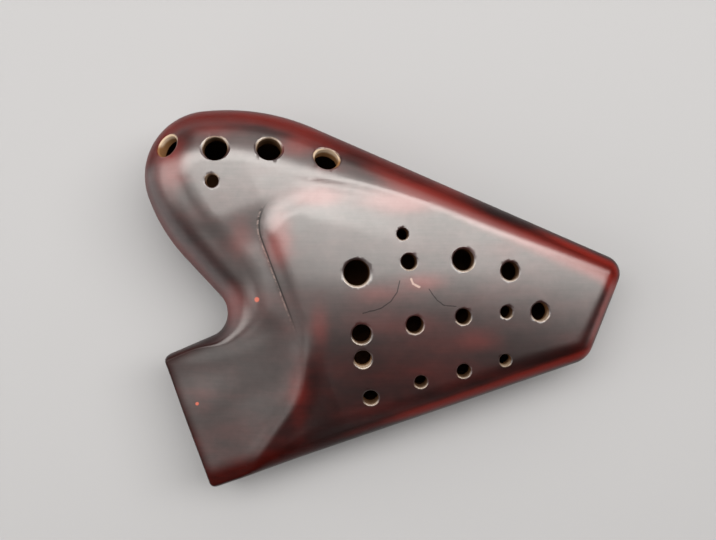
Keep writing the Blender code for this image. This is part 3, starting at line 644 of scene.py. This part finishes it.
class Wire:
    """A socket of a material, so that shader maths reads as plain expressions."""

    def __init__(self, tree, socket=None):
        self.tree = tree
        self.socket = socket

    def node(self, kind, settings=None, inputs=None, output=0):
        """Any other node: its settings come first, then the values or wires of its sockets."""
        made = self.tree.nodes.new(kind)
        for name, value in (settings or {}).items():
            setattr(made, name, value)
        for key, value in (inputs or {}).items():
            if isinstance(value, Wire):
                self.tree.links.new(value.socket, made.inputs[key])
            else:
                made.inputs[key].default_value = value
        return Wire(self.tree, made.outputs[output])

    def maths(self, operation, first, second=0.0):
        """One Math node."""
        return self.node("ShaderNodeMath", {"operation": operation}, {0: first, 1: second})

    def __add__(self, other):
        return self.maths("ADD", self, other)

    __radd__ = __add__

    def __sub__(self, other):
        return self.maths("SUBTRACT", self, other)

    def __rsub__(self, other):
        return self.maths("SUBTRACT", other, self)

    def __mul__(self, other):
        return self.maths("MULTIPLY", self, other)

    __rmul__ = __mul__

    def __truediv__(self, other):
        return self.maths("DIVIDE", self, other)

    def __rtruediv__(self, other):
        return self.maths("DIVIDE", other, self)

    def larger(self, other):
        """The larger of two numbers."""
        return self.maths("MAXIMUM", self, other)

    def smaller(self, other):
        """The smaller of two numbers."""
        return self.maths("MINIMUM", self, other)

    def ramp(self, start, end, low=0.0, high=1.0):
        """A smooth ramp from low at start to high at end, flat beyond."""
        return self.node("ShaderNodeMapRange", {"interpolation_type": "SMOOTHSTEP"},
                         {0: self, 1: start, 2: end, 3: low, 4: high})

    def tint(self, first, second):
        """Two colours mixed by this number."""
        return self.node("ShaderNodeMix", {"data_type": "RGBA"}, {0: self, 6: first, 7: second}, 2)

    def noise(self, place, scale, detail, roughness):
        """Cloudy noise around 0.5."""
        return self.node("ShaderNodeTexNoise", {},
                         {"Vector": place, "Scale": scale, "Detail": detail,
                          "Roughness": roughness})

    def painted(self, name):
        """A number stored on the mesh."""
        return self.node("ShaderNodeAttribute", {"attribute_name": name}, {}, 2)

    def here(self):
        """The place on the piece, in metres."""
        return self.node("ShaderNodeTexCoord", {}, {}, 3)


def fresh_shader(material):
    """An empty tree with its principled shader, and a loose wire to start expressions from."""
    material.use_nodes = True
    tree = material.node_tree
    tree.nodes.clear()
    shader = tree.nodes.new("ShaderNodeBsdfPrincipled")
    output = tree.nodes.new("ShaderNodeOutputMaterial")
    tree.links.new(shader.outputs[0], output.inputs["Surface"])
    return tree, shader, Wire(tree)


def feed(tree, shader, **wires):
    """Lead wires to the shader's sockets."""
    for name, wire in wires.items():
        tree.links.new(wire.socket, shader.inputs[name.replace("_", " ")])


# The finish: a dark mahogany stain wiped on in thin coats, rubbed through to red along the edges
# and to the cream clay on the rims of the holes, under a satin varnish. Light and shade are
# painted
# in too: the lit side of rims and bores, dark shade in most bores, shade in the crevice by the
# playing face and a highlight on its lip.
STAIN_DARK = (0.013, 0.0026, 0.0022, 1)
STAIN_RED = (0.185, 0.012, 0.007, 1)
CREAM_CLAY = (0.60, 0.46, 0.33, 1)
# the bores' bare clay as painted shade, and as painted light where a bore is lit
SHADED_BORE_CLAY = (0.065, 0.030, 0.014, 1)
LIT_BORE_CLAY = (0.24, 0.12, 0.05, 1)
BARE_RED = (0.55, 0.085, 0.035, 1)
# the lip's colour is a painted highlight along the crease
NICK_CLAY, LIP_HIGHLIGHT = (0.50, 0.34, 0.29, 1), (0.42, 0.28, 0.24, 1)
# dark of the cracks, also laid as painted shade in the crevice
CRACK_AND_SHADE_DARK = (0.004, 0.0015, 0.001, 1)
WIPING_TURN = math.radians(-20.56)
HAIR_CRACKS = (((109.2, 26.6), (106.6, 22.6), (102.5, 19.7), (97.5, 18.4), (89.7, 19.1)),
               ((119.7, 18.9), (121.1, 13.1), (123.5, 10.1), (128.0, 8.0)))
RED_DOTS = ((49.8, 40.3, 1.1), (7.6, 7.0, 0.8))
NICK = ((114.0, 25.5), (114.1, 23.4), (116.0, 21.1))
NICK_FADES, CRACK_FADES = (0.25, 0.75), (0.10, 0.36)        # from the middle of its line
FRONT_FROM = (0.028, 0.031)     # height over the belly, in metres, where the front's marks begin
PIT_WAVE = 2.2                  # how closely the pits follow each other
tree, shader, clay = fresh_shader(stained_clay)
shader.inputs["Specular IOR Level"].default_value = 0.06
shader.inputs["Coat Roughness"].default_value = 0.3
shader.inputs["Coat IOR"].default_value = 2.15
here = clay.here()
clouds = clay.noise(here, 42.0, 4.0, 0.55)
grain = clay.noise(here, 260.0, 4.0, 0.6)
specks = clay.noise(here, 900.0, 2.0, 0.5)


def wiped(length, width):
    """Noise drawn out along the way the stain was wiped, in millimetres."""
    place = clay.node("ShaderNodeMapping", {"vector_type": "TEXTURE"},
                      {"Vector": here, "Rotation": (0, 0, WIPING_TURN),
                       "Scale": (length * MM, width * MM, length * MM)})
    return clay.noise(place, 1.0, 3.0, 0.6)


def on_plan(axis):
    """One coordinate on the plan, in millimetres, with a little wander."""
    along_axis = clay.node("ShaderNodeSeparateXYZ", {}, {0: here}, axis)
    return (along_axis - PLAN_ORIGIN[axis]) / MM + (grain - 0.5) * 0.9


def beside_path(path):
    """Distance on the plan, in millimetres, from a path of straight stretches."""
    nearest = None
    for (ax, ay), (bx, by) in zip(path, path[1:]):
        run_x, run_y = bx - ax, by - ay
        gap_x, gap_y = plan_x - ax, plan_y - ay
        share = (gap_x * run_x + gap_y * run_y) / (run_x ** 2 + run_y ** 2)
        share = share.larger(0.0).smaller(1.0)
        off_x, off_y = gap_x - share * run_x, gap_y - share * run_y
        away = clay.maths("SQRT", off_x * off_x + off_y * off_y)
        nearest = away if nearest is None else nearest.smaller(away)
    return nearest


broad, streaks = wiped(42.0, 15.0), wiped(16.0, 1.1)
plan_x, plan_y = on_plan(0), on_plan(1)
front = clay.node("ShaderNodeSeparateXYZ", {}, {0: here}, 2).ramp(*FRONT_FROM)
thin = clay.painted("stain_thin") + (broad - 0.5) * 0.6 + (clouds - 0.5) * 0.35
thin = thin + (streaks - 0.5) * 0.08 + (grain - 0.5) * 0.10
stain = thin.ramp(0.05, 1.0).tint(STAIN_DARK, STAIN_RED)
for spot_x, spot_y, radius in RED_DOTS:
    from_dot = beside_path(((spot_x, spot_y), (spot_x + 0.1, spot_y)))
    dot = 1.0 - from_dot.ramp(0.7 * radius, 1.1 * radius)
    stain = (dot * front).tint(stain, BARE_RED)
nick = (1.0 - beside_path(NICK).ramp(*NICK_FADES)) * front
stain = nick.tint(stain, NICK_CLAY)
cracks_and_crevice_shade = nick * 0.7
for crack in HAIR_CRACKS:
    cracks_and_crevice_shade = cracks_and_crevice_shade.larger((1.0 - beside_path(crack).ramp(*CRACK_FADES)) * front)

# The foot of the playing face's left side: a crevice darkened with painted shade, a pale painted
# highlight along the lip on its lower side and, at its upper end, a few pits
step = clay.painted("from_step")
left_of_face = plan_y.ramp(18.0, 40.0) * plan_y.ramp(72.0, 79.0, 1.0, 0.0) * front
left_of_face = left_of_face * plan_x.ramp(64.0, 72.0, 1.0, 0.0)
crevice_shade = step.ramp(-0.15, 0.1) * step.ramp(0.25, 0.8, 1.0, 0.0) * left_of_face
# painted highlight: a broken pale glint along the crease's lip
lip_highlight = step.ramp(-1.1, -0.5) * step.ramp(-0.35, -0.05, 1.0, 0.0) * left_of_face
lip_highlight = lip_highlight * (grain + specks).ramp(0.85, 1.15)
pits = step.ramp(-1.5, -0.4) * step.ramp(0.2, 1.0, 1.0, 0.0) * left_of_face
pits = pits * plan_y.ramp(67.0, 71.0) * clay.maths("SINE", plan_y * PIT_WAVE).ramp(0.2, 0.6)
# the crevice's darkening is painted shade
cracks_and_crevice_shade = cracks_and_crevice_shade.larger(crevice_shade).larger(pits)
stain = (lip_highlight * 0.45).tint(stain, LIP_HIGHLIGHT)
stain = (cracks_and_crevice_shade * (1.0 - nick) * 0.85).tint(stain, CRACK_AND_SHADE_DARK)

# The holes: bare clay under the broken rims; most bores painted dark as shade, a few pale as lit,
# and each rim paler on one side, rubbed bare and painted as lit
under = clay.painted("under_skin")
rim = clay.painted("from_rim")
rubbed_and_lit = clay.painted("rim_rubbed_and_lit") + (clouds - 0.5) * 0.7
bared = (under + (grain - 0.5) * 0.3).ramp(0.38, 0.6)
worn = (1.0 - (rim + (grain - 0.42) * 0.9).ramp(0.02, 0.3)) * (1.0 - bared)
pale = clay.painted("bore_lit")
# Painted light and shade in the holes: the lit side of pale bores and of the rims is cream, and
# the rims are also rubbed bare there
in_bore = (under + (clouds - 0.5) * 2.0).ramp(1.6, 4.4, 1.0, 0.0) * rubbed_and_lit.ramp(0.3, 0.8)
on_rim = (1.0 - under.ramp(0.5, 1.1)) * rubbed_and_lit.ramp(0.4, 0.9)
cream = (in_bore * pale * 1.4).larger(on_rim * 0.8)
inner = cream.tint(pale.tint(SHADED_BORE_CLAY, LIT_BORE_CLAY), CREAM_CLAY)
base = bared.larger(worn * rubbed_and_lit.ramp(0.55, 0.95) * 0.5).tint(stain, inner)

# How the surface shines: the clay's own roughness and relief, and the varnish over the stain
rough = bared.ramp(0.0, 1.0, 0.0, 0.5) + 0.33 + (streaks - 0.5) * 0.12 + (grain - 0.5) * 0.06
relief = (specks - 0.5) * 0.4 + (streaks - 0.5) * 0.3 + (grain - 0.5) * 0.5 - cracks_and_crevice_shade * 1.5
bump = clay.node("ShaderNodeBump", {}, {"Strength": 0.45, "Distance": 0.00035, "Height": relief})
wiped_varnish = 0.95 + (streaks - 0.5) * 0.16 + (clouds - 0.5) * 0.26 + (grain - 0.5) * 0.2
coat = clay.painted("varnish") * wiped_varnish * (1.0 - bared) * (1.0 - cracks_and_crevice_shade * 0.55)
feed(tree, shader, Base_Color=base, Roughness=rough, Normal=bump, Coat_Weight=coat)
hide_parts("front_shell", "back_shell")
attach(ocarina_body, "root")


# The clay inside
# Slab walls and cross slabs share the hollow out into three chambers, and three blocks carry the
# windways. They are luted in with slip, and stay as bare, matt fired clay.
FIRED_DARK, FIRED_PALE = (0.24, 0.12, 0.06, 1), (0.42, 0.25, 0.14, 1)
fired_clay = bpy.data.materials.new("fired_clay_finish")
tree, shader, clay = fresh_shader(fired_clay)
shader.inputs["Specular IOR Level"].default_value = 0.3
here = clay.here()
clouds = clay.noise(here, 60.0, 4.0, 0.55)
grog = clay.noise(here, 1400.0, 2.0, 0.6)
base = (clouds * 0.7 + grog * 0.3).ramp(0.3, 0.7).tint(FIRED_DARK, FIRED_PALE)
bump = clay.node("ShaderNodeBump", {}, {"Strength": 0.4, "Distance": 0.0004,
                                        "Height": grog + clouds * 0.5})
feed(tree, shader, Base_Color=base, Roughness=0.78 + (grog - 0.5) * 0.2, Normal=bump)
for name in ("low_mid_wall", "mid_high_wall", "mid_end_wall", "high_end_wall",
             "low_windway_block", "mid_windway_block", "high_windway_block"):
    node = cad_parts[name]
    node.data.materials.clear()
    node.data.materials.append(fired_clay)


# The floor, the light and the camera
# A pale floor that runs into a pale backdrop, and six plain panels of warm light: a soft box and
# a weaker wall beyond the top edge, two windows to the left, and two weak fills on the near side.
FLOOR_COLOUR = (0.49, 0.495, 0.51, 1)
BACKDROP_COLOUR = (0.50, 0.49, 0.48, 1)
FLOOR_REACH, FLOOR_DROP = 6.0, 0.0001
BACKDROP_FROM = (0.4, 1.2)      # how far from the object the floor turns into it, in metres


def seen_or_mirrored(wire):
    """1 for what the camera, a mirror or a glass sees, 0 for the light that falls on things."""
    camera, glossy, clear = (wire.node("ShaderNodeLightPath", {}, {}, k) for k in (0, 3, 6))
    return camera.larger(glossy).larger(clear)


floor_mesh = bpy.data.meshes.new("floor")
bm = bmesh.new()
bmesh.ops.create_grid(bm, x_segments=1, y_segments=1, size=FLOOR_REACH)
bm.to_mesh(floor_mesh)
bm.free()
floor = in_scene("floor", floor_mesh)
floor.location.z = -FLOOR_DROP
floor_paint = bpy.data.materials.new("pale_floor")
tree, shader, paint_work = fresh_shader(floor_paint)
shader.inputs["Base Color"].default_value = FLOOR_COLOUR
shader.inputs["Roughness"].default_value = 0.9
shader.inputs["Specular IOR Level"].default_value = 0.1
from_object = paint_work.node("ShaderNodeVectorMath", {"operation": "LENGTH"},
                              {0: paint_work.here()}, 1)
backdrop = paint_work.node("ShaderNodeEmission", {}, {"Color": BACKDROP_COLOUR, "Strength": 1.0})
far_floor = paint_work.node("ShaderNodeMixShader", {}, {
    0: from_object.ramp(*BACKDROP_FROM) * seen_or_mirrored(paint_work),
    1: Wire(tree, shader.outputs[0]), 2: backdrop})
tree.links.new(far_floor.socket, tree.nodes["Material Output"].inputs["Surface"])
floor_mesh.materials.append(floor_paint)

PHOTO_TURN = math.radians(-20.56)       # the picture's right, on the plan
photo_right = Vector((math.cos(PHOTO_TURN), math.sin(PHOTO_TURN), 0))
photo_up = Vector((-math.sin(PHOTO_TURN), math.cos(PHOTO_TURN), 0))
eye = Vector((-0.0077, -0.0092, 0.404))

LAMP_COLOUR = (1.0, 0.965, 0.92)
LIT_HEIGHT = 0.03               # what the lamps point at, over the floor
# Name, place from the camera (to its right, its top and over it), width, depth and radiance
LAMPS = (("softbox", (0.18, 0.35, 0.70), 2.16, 0.50, 5.8),
         ("far_wall", (0.35, 1.25, 0.62), 2.20, 1.25, 0.95),
         ("side_window", (-1.20, 0.09, 0.30), 1.10, 0.78, 2.3),
         ("fill", (-0.62, -0.50, 0.70), 1.20, 0.80, 0.42),
         ("near_fill", (-0.06, -0.18, 0.70), 0.45, 0.30, 0.65),
         ("low_window", (-0.63, -0.77, 0.28), 0.42, 0.50, 1.1))
for name, (to_right, to_up, height), width, depth, radiance in LAMPS:
    lamp = bpy.data.lights.new(name, "AREA")
    lamp.shape = "RECTANGLE"
    lamp.size, lamp.size_y = width, depth
    lamp.energy = radiance * math.pi * width * depth
    lamp.color = LAMP_COLOUR
    stand = in_scene(name, lamp)
    stand.location = eye + photo_right * to_right + photo_up * to_up + Vector((0, 0, height))
    away = (stand.location - Vector((0, 0, LIT_HEIGHT))).normalized()
    along = (photo_right - away * photo_right.dot(away)).normalized()
    stand.rotation_euler = Matrix((along, away.cross(along), away)).transposed().to_euler()

LOW_WALLS, HIGH_WALLS = (0.10, 0.10, 0.10, 1), (0.03, 0.03, 0.031, 1)
room = bpy.data.worlds.new("room")
bpy.context.scene.world = room
room.use_nodes = True
tree = room.node_tree
tree.nodes.clear()
sky = Wire(tree)
height = sky.node("ShaderNodeSeparateXYZ", {}, {0: sky.node("ShaderNodeTexCoord", {}, {}, 0)}, 2)
walls = height.ramp(0.0, 0.6).tint(LOW_WALLS, HIGH_WALLS)
walls = (height.ramp(0.02, 0.12, 1.0, 0.0) * seen_or_mirrored(sky)).tint(walls, BACKDROP_COLOUR)
light = sky.node("ShaderNodeBackground", {}, {"Color": walls, "Strength": 1.0})
tree.links.new(light.socket, tree.nodes.new("ShaderNodeOutputWorld").inputs["Surface"])

lens = bpy.data.cameras.new("camera")
lens.lens, lens.sensor_width = 42.4, 36.0
lens.clip_start = 0.02
camera = in_scene("camera", lens)
camera.location = eye
camera.rotation_euler = (0, 0, PHOTO_TURN)
bpy.context.scene.camera = camera
bpy.context.scene.view_settings.view_transform = "Standard"
